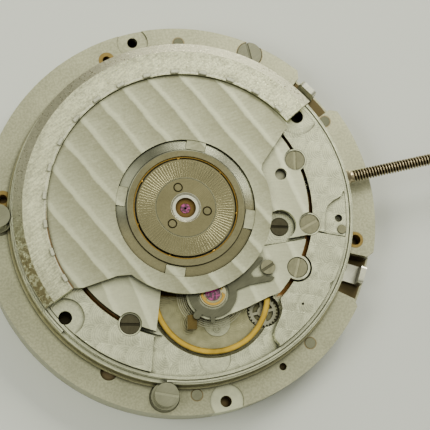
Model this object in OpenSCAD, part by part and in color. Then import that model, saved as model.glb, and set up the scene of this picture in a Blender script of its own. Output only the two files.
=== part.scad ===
// Self-winding chronograph watch movement, dial side down, millimetres.
// Origin on the movement's axis at the dial seat; +Z points to the rotor, +X out along the stem.

/* [Sizes] */
// Outer radius of the chronograph module
module_r = 15.0; // [14.8:0.1:15.4]
// Length of stem outside the module edge
stem_out = 13.0; // [6:0.5:16]

/* [Looks] */
// Width of the screwdriver slots
slot_w = 0.22; // [0.14:0.01:0.26]
// Number of bearing balls
ball_count = 7; // [5:1:10]

/* [Hidden] */
$fn = 96;

// Heights above the dial seat
z_module = 2.9;    // top of the module plate
z_roof = 2.2;      // roof of the module's cavity
z_cover = 0.7;     // top of the module cover
z_floor = 3.3;     // floor of the main plate's recesses
z_deck = 4.3;      // where the bridges sit
z_rim = 4.8;       // rim of the main plate
z_inner = 4.66;    // top of the inner bridges
z_outer = 5.2;     // top of the outer bridges
z_auto = 5.0;      // underside of the automatic bridge
z_auto_top = 5.45; // top of the automatic bridge
z_ear = 5.22;      // top of its ears
z_stem = 4.0;      // stem axis
z_rotor = 5.85;    // underside of the rotor plate
z_rotor_top = 6.1; // top of the rotor plate
z_weight = 5.52;   // underside of the rotor weight
z_top = 6.35;      // top of the rotor weight

// Radii
cavity_r = 12.6;   // module cavity
base_r = 12.9;     // main plate
base_foot_r = 13.1; // foot of the main plate
bridge_r = 12.3;   // outer edge of the outer bridges
slit_in = 9.35;    // inner edge of the slit
slit_out = 9.68;   // outer edge of the slit
play = 0.03;       // gap between the tips of meshing wheels
pivot_r = 0.11;    // pivots
pivot_hole_r = 0.135; // pivot holes

// Going train: each wheel sits where its pinion meets the wheel before it
barrel_r = 4.6;
second_r = 2.9;
third_r = 2.2;
fourth_r = 2.4;
escape_r = 2.2;
second_pinion_r = 0.8;
pinion_r = 0.38;
barrel_p = [4.6, 5.4];
fourth_p = [0, 0];
third_p = (third_r + pinion_r + play) * [cos(144.1), sin(144.1)];
second_p = barrel_p + (barrel_r + second_pinion_r + play) * [cos(189), sin(189)];
escape_p = (fourth_r + 0.35 + play) * [cos(-35), sin(-35)];
balance_p = [0.51, -6.56];
pallet_dir = (balance_p - escape_p) / norm(balance_p - escape_p);
pallet_side = [-pallet_dir[1], pallet_dir[0]];
pallet_p = escape_p + 2.55 * pallet_dir;
balance_r = 4.4;
stud_p = balance_p + 2.6 * [cos(221), sin(221)];

// Winding
ratchet_r = 4.3;
crown_r = 1.8;
crown_p = [7.5, 0];
click_p = [1.9, 10.2];
wind_x = [9.33, 10.45]; // winding pinion from and to
slide_x = [7.55, 9.25]; // sliding pinion from and to
wind_r = 0.8;
slide_r = 0.62;
groove_r = 0.46;
shoulder_r = 0.62;
setting_p = [11.32, -3.06];
yoke_p = [8.35, -2.35];

// Automatic winding
rotor_gear_r = 4.25;
reverser_r = 1.05;
reverser_pinion_r = 0.5;
reduction_r = 1.9;
reverser_axis = rotor_gear_r + reverser_r + play;
reducer_p = barrel_p + (ratchet_r + 0.4 + play) * [cos(165), sin(165)];
reverser_angle = acos((norm(reducer_p) ^ 2 + reverser_axis ^ 2
    - (reduction_r + reverser_pinion_r + play) ^ 2) / (2 * norm(reducer_p) * reverser_axis));
reducer_angle = atan2(reducer_p[1], reducer_p[0]);
tab_angles = [67, 157, 247, 337];
seam_r = 10.23; // seam between the rotor plate and its weight
reverser_a_p = reverser_axis * [cos(reducer_angle - reverser_angle), sin(reducer_angle - reverser_angle)];
reverser_b_p = reverser_axis * [cos(reducer_angle + reverser_angle), sin(reducer_angle + reverser_angle)];

// Chronograph module
seconds_r = 2.8;
counter_r = 2.7;
counter_p = [6.0, 0];
small_p = -counter_p;
minute_p = 3.2 * [cos(-60), sin(-60)];
drive_p = [4.1, -8.55];
hammer_p = [-2.2, -7.2];
start_angle = -30.2;
reset_angle = 32.6;
lever_pivot_r = 11.93;
lever_swing = 26.8;
module_arbors = [counter_p, small_p, minute_p];
notch_half = 6.8;  // half angle of the push-piece notches
slot_half = 10;    // half angle of the lever slots under the edge

// Edge between the barrel bridge and the train bridge, inside the slit
bridge_split = [[-0.35, 9.6], [-0.35, 5.6], [-0.1, 3.9], [3.3, 0.4], [4.6, -1.9], [5.0, -3.75],
    [8.5, -4.1]];

// Screws and holes seen from the back
ear_screws = [[9.14, 1.95], [8.96, -3.08], [-5.96, -7.4], [-6.65, 6.65]];
ear_turns = [77, 16, -14, 0];
ear_r = 0.85;
cock_screw = [7.21, -6.07];
deck_screws = [[6.76, -2.7], [-3.4, 8.6]];
regulator_screw = [5.0, -5.59];
clamp_r = 0.5;
clamp_holes = [[-10.4, -5.84], [10.21, 5.28]];
case_screws = [[-4.49, -12.96, -23], [-13.47, 2.67, 80]];
foot_screws = [[8.34, 11.44]];
rim_hole = [-8.05, -10.2];
brass_bushes = [[-2.66, 13.24, 0.62, 0.31], [12.66, -4.66, 0.62, 0.4], [-12.8, 4.24, 0.66, 0.36]];
plate_pins = [[3.11, 13.46], [12.78, 4.94], [7.2, -11.56], [-2.1, -13.36]];
cover_screws = [[2.6, 9.6], [-9.6, 4.2], [-7.4, -7.6], [4.6, -6.4]];

// Colours
steel = "#b4b298";
pale = "#cfcdb6";
dark = "#3c342c";
gold = "#c79a45";
ruby = "#a01848";
bronze = "#8c7350";

// ---- shared shapes ----
module at(p) { translate([p[0], p[1], 0]) children(); }

module disc(r, z0, z1) { translate([0, 0, z0]) cylinder(r = r, h = z1 - z0); }

module tube(r_out, r_in, z0, z1) {
    difference() {
        disc(r_out, z0, z1);
        disc(r_in, z0 - 0.1, z1 + 0.1);
    }
}

module slab(z0, z1) { translate([0, 0, z0]) linear_extrude(z1 - z0) children(); }

module bar(p, q, w) {
    d = q - p;
    translate(p) rotate(atan2(d[1], d[0])) translate([0, -w / 2]) square([norm(d), w]);
    translate(p) circle(d = w, $fn = 32);
    translate(q) circle(d = w, $fn = 32);
}

module sector(r_in, r_out, a0, a1) {
    n = ceil((a1 - a0) / 40);
    reach = r_out / cos((a1 - a0) / n / 2) + 0.5;
    intersection() {
        difference() {
            circle(r = r_out, $fn = 180);
            circle(r = r_in, $fn = 180);
        }
        polygon(concat([[0, 0]],
            [for (i = [0:n]) let (a = a0 + (a1 - a0) * i / n) reach * [cos(a), sin(a)]]));
    }
}

module gear(r, teeth, depth) {
    step = 360 / teeth;
    polygon([for (i = [0:teeth - 1], k = [0:3])
        let (a = step * (i + [0.0, 0.32, 0.5, 0.82][k]), rr = k < 2 ? r : r - depth) rr * [cos(a), sin(a)]]);
}

module wheel(r, z0, z1, teeth, spokes = 5, depth = 0.14) {
    slab(z0, z1) {
        difference() {
            gear(r, teeth, depth);
            circle(r = r - depth - 0.22);
        }
        difference() {
            for (i = [0:spokes - 1]) rotate(360 * i / spokes)
                translate([0, -0.1]) square([r - depth - 0.1, 0.2]);
            circle(r = 0.3);
        }
        circle(r = 0.42, $fn = 48);
    }
}

module pinion(r, z0, z1, leaves = 9) { slab(z0, z1) gear(r, leaves, 0.13); }

// A staff with a pivot at each end
module arbor(r, z0, z1, tip = 0.12) {
    disc(r, z0, z1);
    disc(pivot_r, z0 - tip, z1 + tip);
}

module hole(p, r, z0, z1) { at(p) disc(r, z0, z1); }

module screw(p, r, z_head, z_end, head = 0.3, shank = 0.3, turn = 0) {
    at(p) difference() {
        union() {
            disc(r, z_head - head, z_head);
            disc(shank, z_end, z_head - head);
        }
        rotate(turn) translate([-r - 0.1, -slot_w / 2, z_head - 0.14]) cube([2 * r + 0.2, slot_w, 0.3]);
    }
}

// Clearance for a screw through a plate: counterbore and shank hole
module screw_hole(p, r, z_head, z_end, head = 0.3, shank = 0.3) {
    hole(p, r + 0.04, z_head - head, z_head + 2);
    hole(p, shank + 0.02, z_end, z_head);
}

// A cylinder lying along the stem
module along(r, x0, x1) { translate([x0, 0, z_stem]) rotate([0, 90, 0]) cylinder(r = r, h = x1 - x0); }

// ---- chronograph module ----
module notch(a) {
    slab(0.95, z_module + 0.1) sector(13.15, 16, a - notch_half, a + notch_half);
    for (s = [-1, 1]) rotate(a + s * notch_half) translate([module_r, 0, 0.95]) rotate(45)
        translate([-0.32, -0.32, 0]) cube([0.64, 0.64, 3]);
    slab(1.05, 1.8) sector(11.5, 13.3, a - slot_half, a + slot_half);
}

module module_plate() {
    color(steel) difference() {
        rotate(15) disc(module_r, 0, z_module);
        disc(cavity_r, -0.1, z_roof);
        disc(0.62, 0, z_module + 0.1);
        notch(start_angle - 1.5);
        notch(reset_angle - 2.5);
        hole([-0.39, 14.22], 0.4, -0.1, z_module + 0.1);
        hole([-0.39, 14.22], 1.2, z_module - 0.1, z_module + 0.1);
        hole([4.72, -12.8], 0.28, z_module - 0.6, z_module + 0.1);
        hole([-0.08, -14.31], 0.43, 1.4, z_module + 0.1);
        hole([-0.02, -14.3], 1.28, z_module - 0.12, z_module + 0.1);
        hole(rim_hole, 0.64, z_module - 0.5, z_module + 0.1);
        hole([6.26, 12.14], 0.14, z_module - 0.3, z_module + 0.1);
        hole(drive_p, 0.26, 2.3, z_module + 0.1);
        hole(drive_p, pivot_hole_r, 2.1, 2.5);
        for (b = brass_bushes) hole(b, b[2], z_module - 0.8, z_module + 0.1);
        for (b = brass_bushes) hole(b, b[3], 1.6, z_module);
        for (p = plate_pins) hole(p, 0.4, z_module - 1.2, z_module + 0.1);
        for (s = case_screws) hole(s, 1.15, z_module - 0.25, z_module + 0.1);
        for (s = case_screws) hole(s, 0.52, 0.8, z_module);
        for (s = foot_screws) hole(s, 1.0, z_module - 0.5, z_module + 0.1);
        for (s = foot_screws) hole(s, 0.42, 0.8, z_module);
        for (p = module_arbors) hole(p, pivot_hole_r, z_roof - 0.1, z_roof + 0.25);
        for (s = [-1, 1]) lever_post_hole(s);
        hole(hammer_p, 0.3, z_roof - 0.1, z_roof + 0.3);
        for (p = cover_screws) hole(p, 0.27, z_roof - 0.1, z_roof + 0.4);
    }
}

function lever_pivot(s) = let (a = s < 0 ? start_angle - lever_swing : reset_angle + lever_swing)
    lever_pivot_r * [cos(a), sin(a)];

module lever_post_hole(s) { hole(lever_pivot(s), 0.3, z_roof - 0.1, z_roof + 0.3); }

module module_cover() {
    color(steel) difference() {
        union() {
            disc(cavity_r - 0.05, 0.3, z_cover);
            for (p = cover_screws) hole(p, 0.7, z_cover, z_roof);
        }
        disc(1.0, 0, 1);
        for (p = [counter_p, small_p]) hole(p, pivot_hole_r, 0, 1);
        hole(minute_p, pivot_hole_r, 0.5, 1);
        for (s = [-1, 1]) hole(lever_pivot(s), 0.3, 0.45, 1);
        hole(hammer_p, 0.3, 0.45, 1);
        for (p = cover_screws) screw_hole_below(p);
    }
}

module screw_hole_below(p) {
    hole(p, 0.54, 0, 0.5);
    hole(p, 0.27, 0, z_roof + 0.1);
}

module module_bushings() {
    color(gold) for (b = brass_bushes) at(b) tube(b[2] - 0.005, b[3], z_module - 0.8, z_module + 0.02);
}

module module_pins_screws() {
    color(pale) {
        for (p = plate_pins) hole(p, 0.395, z_module - 1.2, z_module + 0.03);
        for (p = cover_screws) at(p) mirror([0, 0, 1]) screw([0, 0], 0.5, -0.3, -z_roof - 0.35, 0.2, 0.26);
        for (s = foot_screws) screw(s, 0.95, z_module + 0.05, 0.85, 0.5, 0.41, 90);
    }
}

module casing_screws() {
    color(pale) for (s = case_screws) {
        screw(s, 0.87, 4.85, 3.5, 1.2, 0.6, s[2]);
        hole(s, 1.04, 3.35, 3.65);
        hole(s, 0.55, 2.6, 3.35);
        hole(s, 0.5, 0.85, 2.6);
    }
}

// Sheet lever with an upturned tab at the module's edge; side is -1 or 1
module chrono_lever(a, side) {
    pivot = lever_pivot_r * [cos(side * lever_swing), sin(side * lever_swing)];
    color(steel) rotate(a) {
        slab(1.25, 1.55) difference() {
            union() {
                bar(pivot, [12.3, side * 1.3], 0.6);
                bar([12.3, side * 1.3], [13.7, 0], 0.6);
                translate([13.4, -0.7]) square([1.3, 1.4]);
                translate(pivot) circle(r = 0.6);
            }
            translate(pivot) circle(r = 0.32);
        }
        translate([14.33, 0, 0]) rotate([90, 0, 90]) linear_extrude(0.42) {
            translate([-0.72, 1.25]) square([1.44, 1.2]);
            translate([-0.42, 1.25]) square([0.84, 1.5]);
            for (s = [-1, 1]) translate([0.42 * s, 2.45]) circle(r = 0.3);
        }
    }
}

module start_lever() { chrono_lever(start_angle, -1); }

module reset_lever() { chrono_lever(reset_angle, 1); }

// Posts for the levers, and the blade springs that push them back
module flat_springs() {
    color(pale) {
        for (s = [-1, 1]) hole(lever_pivot(s), 0.28, 0.5, z_roof + 0.25);
        hole(hammer_p, 0.28, 0.5, z_roof + 0.25);
        for (s = [-1, 1]) rotate(s < 0 ? start_angle : reset_angle) slab(0.75, 1.2) {
            bar([10.6, s * 1.6], [8.8, s * 4.9], 0.12);
            bar([8.8, s * 4.9], [10.1, s * 6.6], 0.3);
        }
        slab(z_inner + 0.03, z_inner + 0.16) bar([0.4, 10.6], [-1.4, 9.7], 0.12);
        hole([-1.4, 9.7], 0.3, z_inner + 0.01, z_inner + 0.2);
    }
}

module reset_hammer() {
    color(steel) slab(1.3, 1.55) difference() {
        union() {
            bar(hammer_p, [-4.6, -1.6], 0.5);
            bar(hammer_p, [0.3, -1.7], 0.5);
            bar(hammer_p, [4.7, -1.7], 0.5);
            bar(hammer_p, [2.4, -8.6], 0.45);
            translate(hammer_p) circle(r = 0.65);
        }
        translate(hammer_p) circle(r = 0.32);
    }
}

// Heart cam under each resettable wheel
module heart(z0, z1) { slab(z0, z1) union() { circle(r = 0.45); translate([0.25, 0]) circle(r = 0.35); } }

module counter(p, z0, teeth) {
    color(gold) at(p) {
        wheel(counter_r, z0, z0 + 0.14, teeth);
        arbor(0.2, z_cover + 0.03, z_roof - 0.03);
        heart(1.3, 1.5);
    }
}

module chrono_seconds_wheel() {
    color(gold) {
        wheel(seconds_r, 1.78, 1.92, 60);
        heart(1.3, 1.5);
        disc(0.2, 0.1, 2.12);
    }
}

module minute_counter_wheel() { counter(counter_p, 1.78, 60); }

module small_seconds_wheel() { counter(small_p, 1.78, 60); }

module hour_wheel() {
    color(gold) {
        difference() {
            wheel(2.6, 0.78, 0.92, 40);
            disc(0.6, 0.7, 1);
        }
        tube(0.92, 0.6, 0.1, 0.78);
    }
}

module cannon_pinion() {
    color(steel) difference() {
        union() {
            disc(0.55, 0.08, 1.0);
            pinion(0.9, 0.98, 1.12, 12);
        }
        disc(0.23, 0, 2);
    }
}

module minute_wheel() {
    color(gold) at(minute_p) {
        wheel(2.27, 0.98, 1.12, 36);
        pinion(0.57, 0.78, 0.92, 10);
        arbor(0.2, z_cover + 0.03, z_roof - 0.03);
    }
}

// Wheel that takes the drive down into the module, seen beside the balance
module drive_wheel() {
    color(gold) at(drive_p) {
        wheel(1.12, 3.62, 3.74, 26, 4, 0.12);
        disc(0.18, 2.4, 3.84);
        disc(pivot_r, 2.15, 2.4);
    }
}

// ---- base: plates and bridges ----
module train_recess() {
    hole(barrel_p, barrel_r + 0.15, z_floor, 6);
    hole(second_p, 1.0, z_floor, 6);
    hole(second_p, second_r + 0.12, z_deck - 0.06, 6);
    hole(third_p, third_r + 0.12, z_floor, 6);
    hole(fourth_p, fourth_r + 0.12, z_floor, 6);
    hole(escape_p, escape_r + 0.12, z_floor, 6);
    hole(pallet_p, 2.1, z_floor, 6);
    hole(balance_p, 1.7, z_floor, 6);
    hole(balance_p, 4.65, 3.9, 6);
    hole(drive_p, 1.22, 3.5, 6);
    hole(drive_p, 0.26, 2.5, 6);
}

module keyless_recess() {
    along(wind_r + 0.07, wind_x[0] - 0.1, wind_x[1] + 0.1);
    along(slide_r + 0.08, slide_x[0] - 0.75, slide_x[1] + 0.2);
    along(0.28, 6.0, slide_x[0]);
    along(shoulder_r + 0.04, wind_x[1], 14);
    translate([7.75, -2.8, 3.83]) cube([1.15, 2.6, z_deck - 3.83]);
    translate([10.3, -3.7, 3.83]) cube([2.0, 3.5, z_deck - 3.83]);
}

module main_plate() {
    color(steel) difference() {
        union() {
            disc(base_foot_r, z_module, z_floor);
            disc(base_r, z_floor, z_rim - 0.12);
            disc(base_r - 0.12, z_rim - 0.12, z_rim);
        }
        disc(bridge_r + 0.05, z_deck, 6);
        train_recess();
        keyless_recess();
        disc(0.4, 2, z_floor);
        for (p = [second_p, third_p, escape_p, pallet_p, balance_p]) hole(p, pivot_hole_r, z_floor - 0.25, 4);
        hole(barrel_p, 0.42, z_floor - 0.2, 4);
        hole(setting_p, 0.3, 3.6, 5);
        hole(yoke_p, 0.3, 3.6, 5);
        for (p = ear_screws) hole(p, 0.32, z_floor + 0.1, 5);
        for (p = deck_screws) hole(p, 0.32, z_floor + 0.1, 5);
        hole(cock_screw, 0.32, z_floor + 0.1, 5);
        for (p = clamp_holes) hole(p, clamp_r, z_floor + 0.1, 5);
        for (s = case_screws) hole(s, 1.1, z_floor, 3.7);
        for (s = case_screws) hole(s, 0.93, z_floor, 6);
        for (s = case_screws) hole(s, 0.6, 2.5, 6);
        hole(rim_hole, 0.64, 2.5, 3.0);
        tube(12.66, 12.56, z_rim - 0.14, z_rim + 0.1);
        hole([-0.35, -11.14], 1.2, z_deck - 0.07, 6);
        // ledge below the left side bridge
        slab(z_rim - 0.4, 6) sector(12.62, 13.2, 212, 250.5);
        hole([11.34, -3.94], 0.35, z_deck - 0.3, 5);
    }
}

module outer_ring(a0, a1) { sector(slit_out, bridge_r, a0, a1); }

module barrel_side() {
    intersection() {
        circle(r = slit_in + 0.1, $fn = 180);
        polygon(concat(bridge_split, [[14, -4.0], [14, 14], [-0.35, 14]]));
    }
}

module train_side() {
    difference() {
        circle(r = slit_in + 0.1, $fn = 180);
        translate([0.08, 0.08]) polygon(concat([for (p = bridge_split) p - [0.16, 0.16]],
            [[14, -6], [14, 14], [-0.51, 14]]));
        translate(balance_p) circle(r = 4.75, $fn = 180);
        polygon([[1, -4.0], [5.2, -3.6], [14, -3.6], [14, -14], [-3, -14], [-3, -9]]);
    }
}

module ear_clearance() { for (p = ear_screws) hole(p, ear_r + 0.03, z_inner, 6); }

module barrel_bridge() {
    color(steel) difference() {
        union() {
            slab(z_deck, z_inner) barrel_side();
            slab(z_deck, z_inner) sector(slit_in, slit_out + 0.1, -20.8, 92);
            slab(z_deck, z_outer) outer_ring(-21.5, 178);
        }
        keyless_recess();
        ear_clearance();
        hole(barrel_p, ratchet_r + 0.1, z_inner, 6);
        hole(barrel_p, 0.62, z_deck - 0.1, 6);
        hole(click_p, 1.35, z_inner, 6);
        hole([-0.4, 10.1], 1.4, z_inner, 6);
        hole(second_p, second_r + 0.12, z_deck - 0.1, 4.47);
        for (p = ear_screws) hole(p, 0.32, z_deck - 0.1, 6);
        hole(crown_p, 0.4, z_inner - 0.02, 6);
        hole(click_p, 0.27, z_inner - 0.2, 6);
        hole(reducer_p, pivot_hole_r, z_inner - 0.15, 6);
        hole([-1.4, 9.7], 0.2, z_inner - 0.1, z_inner);
        for (p = deck_screws) screw_hole(p, 0.68, z_inner, z_deck - 0.1, 0.2);
        clamp_recess(clamp_holes[1], 1.5);
        hole(setting_p, 0.29, z_deck - 0.1, 6);
        hole([11.34, -3.94], 0.35, z_deck - 0.1, 6);
        slab(z_outer - 0.35, 6) polygon([[9.85, -4.1], [10.3, -2.6], [10.65, -2.0], [11.2, -1.7],
            [11.9, -1.5], [12.1, -1.2], [14, -1.1], [14, -6]]);
    }
}

module clamp_recess(p, r) {
    hole(p, r, z_outer - 0.3, 6);
    hole(p, clamp_r, z_deck - 0.1, 6);
}

module train_bridge() {
    color(steel) difference() {
        slab(z_deck, z_inner) train_side();
        ear_clearance();
        hole(second_p, second_r + 0.12, z_deck - 0.1, 4.47);
        for (p = [second_p, third_p, escape_p]) hole(p, pivot_hole_r, z_deck - 0.1, z_inner - 0.06);
        hole(fourth_p, 0.35, z_deck - 0.1, 6);
        for (p = ear_screws) hole(p, 0.32, z_deck - 0.1, 6);
        screw_hole(deck_screws[1], 0.68, z_inner, z_deck - 0.1, 0.2);
        hole(third_p, pinion_r + 0.12, z_deck - 0.1, 4.47);
    }
}

module side_bridge_left() {
    color(pale) difference() {
        slab(z_deck, z_outer) difference() {
            outer_ring(179, 244.6);
            polygon([[-4.45, -8.7], [-5.25, -11.1], [-5.0, -14], [0, -14], [0, -8]]);
        }
        ear_clearance();
        for (p = ear_screws) hole(p, 0.32, z_deck - 0.1, 6);
        clamp_recess(clamp_holes[0], 1.41);
    }
}

module side_bridge_right() {
    color(pale) difference() {
        slab(z_deck, z_outer) difference() {
            outer_ring(-69.5, -22.2);
            polygon([[4.6, -14], [4.45, -11.3], [4.27, -10.9], [4.28, -10.45], [4.5, -10.05], [5.15, -9.2],
                [5.35, -8.75], [5.35, -8.2], [5.55, -7.7], [5.3, -7.2], [2, -7], [0, -14]]);
        }
        ear_clearance();
        for (p = ear_screws) hole(p, 0.32, z_deck - 0.1, 6);
        hole(cock_screw, 1.1, z_deck - 0.1, 6);
        hole([6.91, -8.81], 0.1, z_outer - 0.3, 6);
        slab(z_outer - 0.25, 6) polygon([[9.3, -7.75], [9.1, -8.4], [14, -12], [14, -6]]);
    }
}

module auto_outline() {
    difference() {
        union() {
            difference() {
                circle(r = slit_in, $fn = 180);
                // the open side, where the balance and its cock lie
                polygon([[5.0, -3.72], [6.1, -3.78], [14, -4.1], [14, -14], [-4.6, -14], [-4.28, -8.5],
                    [-3.0, -5.0]]);
            }
            circle(r = 5.2, $fn = 180);
            for (p = ear_screws) translate(p) circle(r = ear_r);
        }
        // cut-out around the screw on the barrel bridge
        translate(deck_screws[0]) circle(r = 1.15);
        translate([5.2, -4.5]) square([1.2, 1.8]);
        translate(balance_p) circle(r = 1.95);
    }
}

module automatic_bridge() {
    color(steel) difference() {
        union() {
            slab(z_auto, z_auto_top) auto_outline();
            for (p = ear_screws) hole(p, ear_r - 0.01, z_inner, z_auto + 0.1);
        }
        disc(1.2, 4, 6);
        for (p = ear_screws) hole(p, ear_r + 0.02, z_ear, 6);
        for (p = ear_screws) screw_hole(p, 0.72, z_ear, z_inner - 0.1, 0.3);
        for (p = [reverser_a_p, reverser_b_p]) hole(p, 0.19, 4, 6);
        hole(reducer_p, pivot_hole_r, 4, z_auto + 0.2);
        hole([7.75, 1.08], 0.45, 4, 6);
        hole(barrel_p, 0.95, 4, z_auto + 0.15);
    }
}

module cock_outline() {
    difference() {
        union() {
            intersection() {
                circle(r = slit_in, $fn = 180);
                polygon([[0.6, -4.6], [5.1, -3.95], [14, -4.45], [14, -8.5], [5.56, -7.6], [4.56, -7.72],
                    [2.79, -8.13], [1.37, -8.35], [0.5, -8.5]]);
            }
            translate(balance_p) circle(r = 1.95);
            translate(cock_screw) circle(r = 0.95);
        }
        circle(r = 5.3, $fn = 180);
    }
}

module balance_cock() {
    color(pale) difference() {
        union() {
            slab(4.95, 5.25) cock_outline();
            slab(z_deck, 4.95) difference() {
                cock_outline();
                translate(balance_p) circle(r = 5.15, $fn = 180);
            }
        }
        hole(balance_p, 0.7, 4.5, 6);
        screw_hole(cock_screw, 0.75, 5.25, z_deck - 0.1, 0.3);
        hole(regulator_screw, 0.3, 5.05, 6);
    }
}

module pallet_bridge() {
    color(steel) difference() {
        union() {
            slab(3.98, 4.08) bar([-2.35, -4.1], [4.3, -4.7], 0.8);
            for (p = [[-2.35, -4.1], [4.3, -4.7]]) hole(p, 0.38, 3.9, 4.08);
            // small cap plate below the balance
            hole([0.5, -8.6], 1.0, 3.9, 3.96);
            at([0.38, -9.06]) tube(0.26, 0.18, 3.96, 4.02);
        }
        hole(pallet_p, pivot_hole_r, 3.8, 5);
    }
}

module bridge_screws() {
    for (i = [0:len(ear_screws) - 1])
        color(i == 2 ? dark : pale)
            screw(ear_screws[i], 0.72, z_ear - 0.06, z_floor + 0.15, 0.24, 0.3, ear_turns[i]);
    color(pale) screw(cock_screw, 0.73, 5.22, z_floor + 0.15, 0.26, 0.3, 62);
    color(dark) screw(deck_screws[0], 0.66, z_inner + 0.05, z_floor + 0.15, 0.25, 0.3, -14);
    color(dark) screw(deck_screws[1], 0.66, z_inner + 0.05, z_floor + 0.15, 0.25, 0.3, 80);
    color(pale) screw(regulator_screw, 0.54, 5.55, 5.08, 0.25, 0.28, 20);
    color(pale) hole([11.34, -3.94], 0.33, z_deck - 0.25, 4.95);
    // fixed core that the crown wheel turns on
    color(pale) at(crown_p) {
        disc(0.38, z_inner - 0.02, 4.85);
        disc(0.7, 4.85, 4.93);
    }
    color(pale) hole(click_p, 0.25, z_inner - 0.15, 4.95);
}

module jewels() {
    color(ruby) {
        tube(0.34, pivot_hole_r, z_inner - 0.26, z_inner);
        tube(0.36, 0.09, 5.62, 5.8);
        at(balance_p) disc(0.56, 5.36, 5.44);
    }
}

// ---- barrel ----
module barrel_drum() {
    color(gold) at(barrel_p) {
        slab(3.38, 3.58) difference() {
            gear(barrel_r, 96, 0.16);
            circle(r = 0.5);
        }
        tube(4.25, 4.1, 3.58, 4.12);
    }
}

module barrel_cover() { color(gold) at(barrel_p) tube(4.25, 0.5, 4.12, 4.24); }

module barrel_arbor() {
    color(steel) at(barrel_p) {
        disc(0.4, z_floor - 0.12, 3.6);
        disc(0.9, 3.6, 4.1);
        disc(0.46, 4.1, 4.24);
        disc(0.58, 4.24, z_inner + 0.03);
        difference() {
            disc(0.8, 4.84, 5.0);
            translate([-1, -slot_w / 2, 4.9]) cube([2, slot_w, 0.3]);
        }
        slab(z_inner + 0.03, 4.84) square([0.7, 0.7], center = true);
    }
}

module mainspring() {
    turns = 7;
    n = turns * 20;
    function rr(i) = 1.05 + 2.85 * i / n;
    color(steel) at(barrel_p) slab(3.64, 4.06) polygon(concat(
        [for (i = [0:n]) (rr(i) + 0.1) * [cos(18 * i), sin(18 * i)]],
        [for (i = [n:-1:0]) (rr(i) - 0.1) * [cos(18 * i), sin(18 * i)]]));
}

module ratchet_wheel() {
    color(steel) at(barrel_p) slab(4.7, 4.82) difference() {
        gear(ratchet_r, 72, 0.16);
        square([0.74, 0.74], center = true);
    }
}

module crown_wheel() {
    color(steel) at(crown_p) slab(4.7, 4.82) difference() {
        gear(crown_r, 30, 0.16);
        circle(r = 0.41);
    }
}

module click() {
    d = (barrel_p - click_p) / norm(barrel_p - click_p);
    color(steel) slab(4.7, 4.84) difference() {
        union() {
            translate(click_p) circle(r = 0.6);
            bar(click_p, click_p + 1.03 * d, 0.24);
            bar(click_p, click_p + [-0.9, 0.25], 0.3);
        }
        translate(click_p) circle(r = 0.28);
    }
}

// ---- train and escapement ----
module second_wheel() {
    color(gold) at(second_p) {
        wheel(second_r, 4.3, 4.42, 60);
        pinion(second_pinion_r, 3.38, 3.6, 12);
        arbor(0.25, z_floor + 0.04, 4.44, 0.14);
    }
}

module third_wheel() {
    color(gold) at(third_p) {
        wheel(third_r, 3.9, 4.02, 64);
        pinion(pinion_r, 4.14, 4.42, 8);
        arbor(0.2, z_floor + 0.04, 4.44, 0.14);
    }
}

module fourth_wheel() {
    color(gold) {
        wheel(fourth_r, 3.45, 3.57, 70);
        pinion(pinion_r, 3.75, 4.1, 8);
        disc(0.2, z_floor + 0.04, z_deck + 0.02);
        disc(pivot_r, 3.0, 4.62);
    }
}

module escape_wheel() {
    color(steel) at(escape_p) {
        slab(3.75, 3.87) {
            difference() {
                polygon([for (i = [0:19], k = [0:2])
                    let (a = 18 * i + [0, 2.5, 9][k], r = k < 2 ? escape_r : 1.85) r * [cos(a), sin(a)]]);
                circle(r = 1.55);
            }
            for (i = [0:3]) rotate(90 * i) translate([0, -0.1]) square([1.7, 0.2]);
            circle(r = 0.35);
        }
        pinion(0.35, 3.42, 3.66, 8);
        arbor(0.18, z_floor + 0.04, z_deck - 0.03, 0.14);
    }
}

module pallet_fork() {
    tip = pallet_p + 1.55 * pallet_dir;
    color(steel) slab(3.75, 3.9) {
        bar(pallet_p, tip, 0.3);
        for (s = [-1, 1]) {
            bar(pallet_p, pallet_p + s * 1.3 * pallet_side, 0.3);
            bar(pallet_p + s * 1.3 * pallet_side, pallet_p + s * 1.3 * pallet_side - 0.4 * pallet_dir, 0.14);
            bar(tip, tip + 0.2 * pallet_dir + s * 0.2 * pallet_side, 0.12);
        }
        translate(pallet_p) circle(r = 0.4);
    }
    color(steel) at(pallet_p) arbor(0.15, z_floor + 0.04, 3.95, 0.12);
}

module balance_wheel() {
    color(gold) at(balance_p) {
        tube(balance_r, balance_r - 0.42, 4.15, 4.5);
        slab(4.25, 4.4) difference() {
            union() {
                for (i = [0:1]) rotate(180 * i + 165) translate([0, -0.22]) square([balance_r - 0.3, 0.44]);
                circle(r = 0.65);
            }
            circle(r = 0.21);
        }
    }
}

module balance_staff() {
    color(steel) at(balance_p) {
        disc(0.2, 3.45, 4.9);
        disc(pivot_r, 3.15, 5.28);
        disc(0.32, 4.12, 4.25);
        disc(0.75, 3.98, 4.1);
        disc(0.36, 4.62, 4.78);
        translate([0.6, 0, 0]) disc(0.07, 3.76, 3.98);
    }
}

module hairspring() {
    turns = 11;
    n = turns * 24;
    function rr(i) = 0.5 + 1.45 * i / n;
    color(steel) at(balance_p) slab(4.62, 4.76) polygon(concat(
        [for (i = [0:n]) (rr(i) + 0.03) * [cos(15 * i + 180), sin(15 * i + 180)]],
        [for (i = [n:-1:0]) (rr(i) - 0.03) * [cos(15 * i + 180), sin(15 * i + 180)]]));
}

module stud_block() {
    color(bronze) translate([stud_p[0], stud_p[1], 4.6]) rotate(-12.6)
        translate([-0.34, -0.52, 0]) cube([0.68, 1.04, 0.62]);
}

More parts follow.
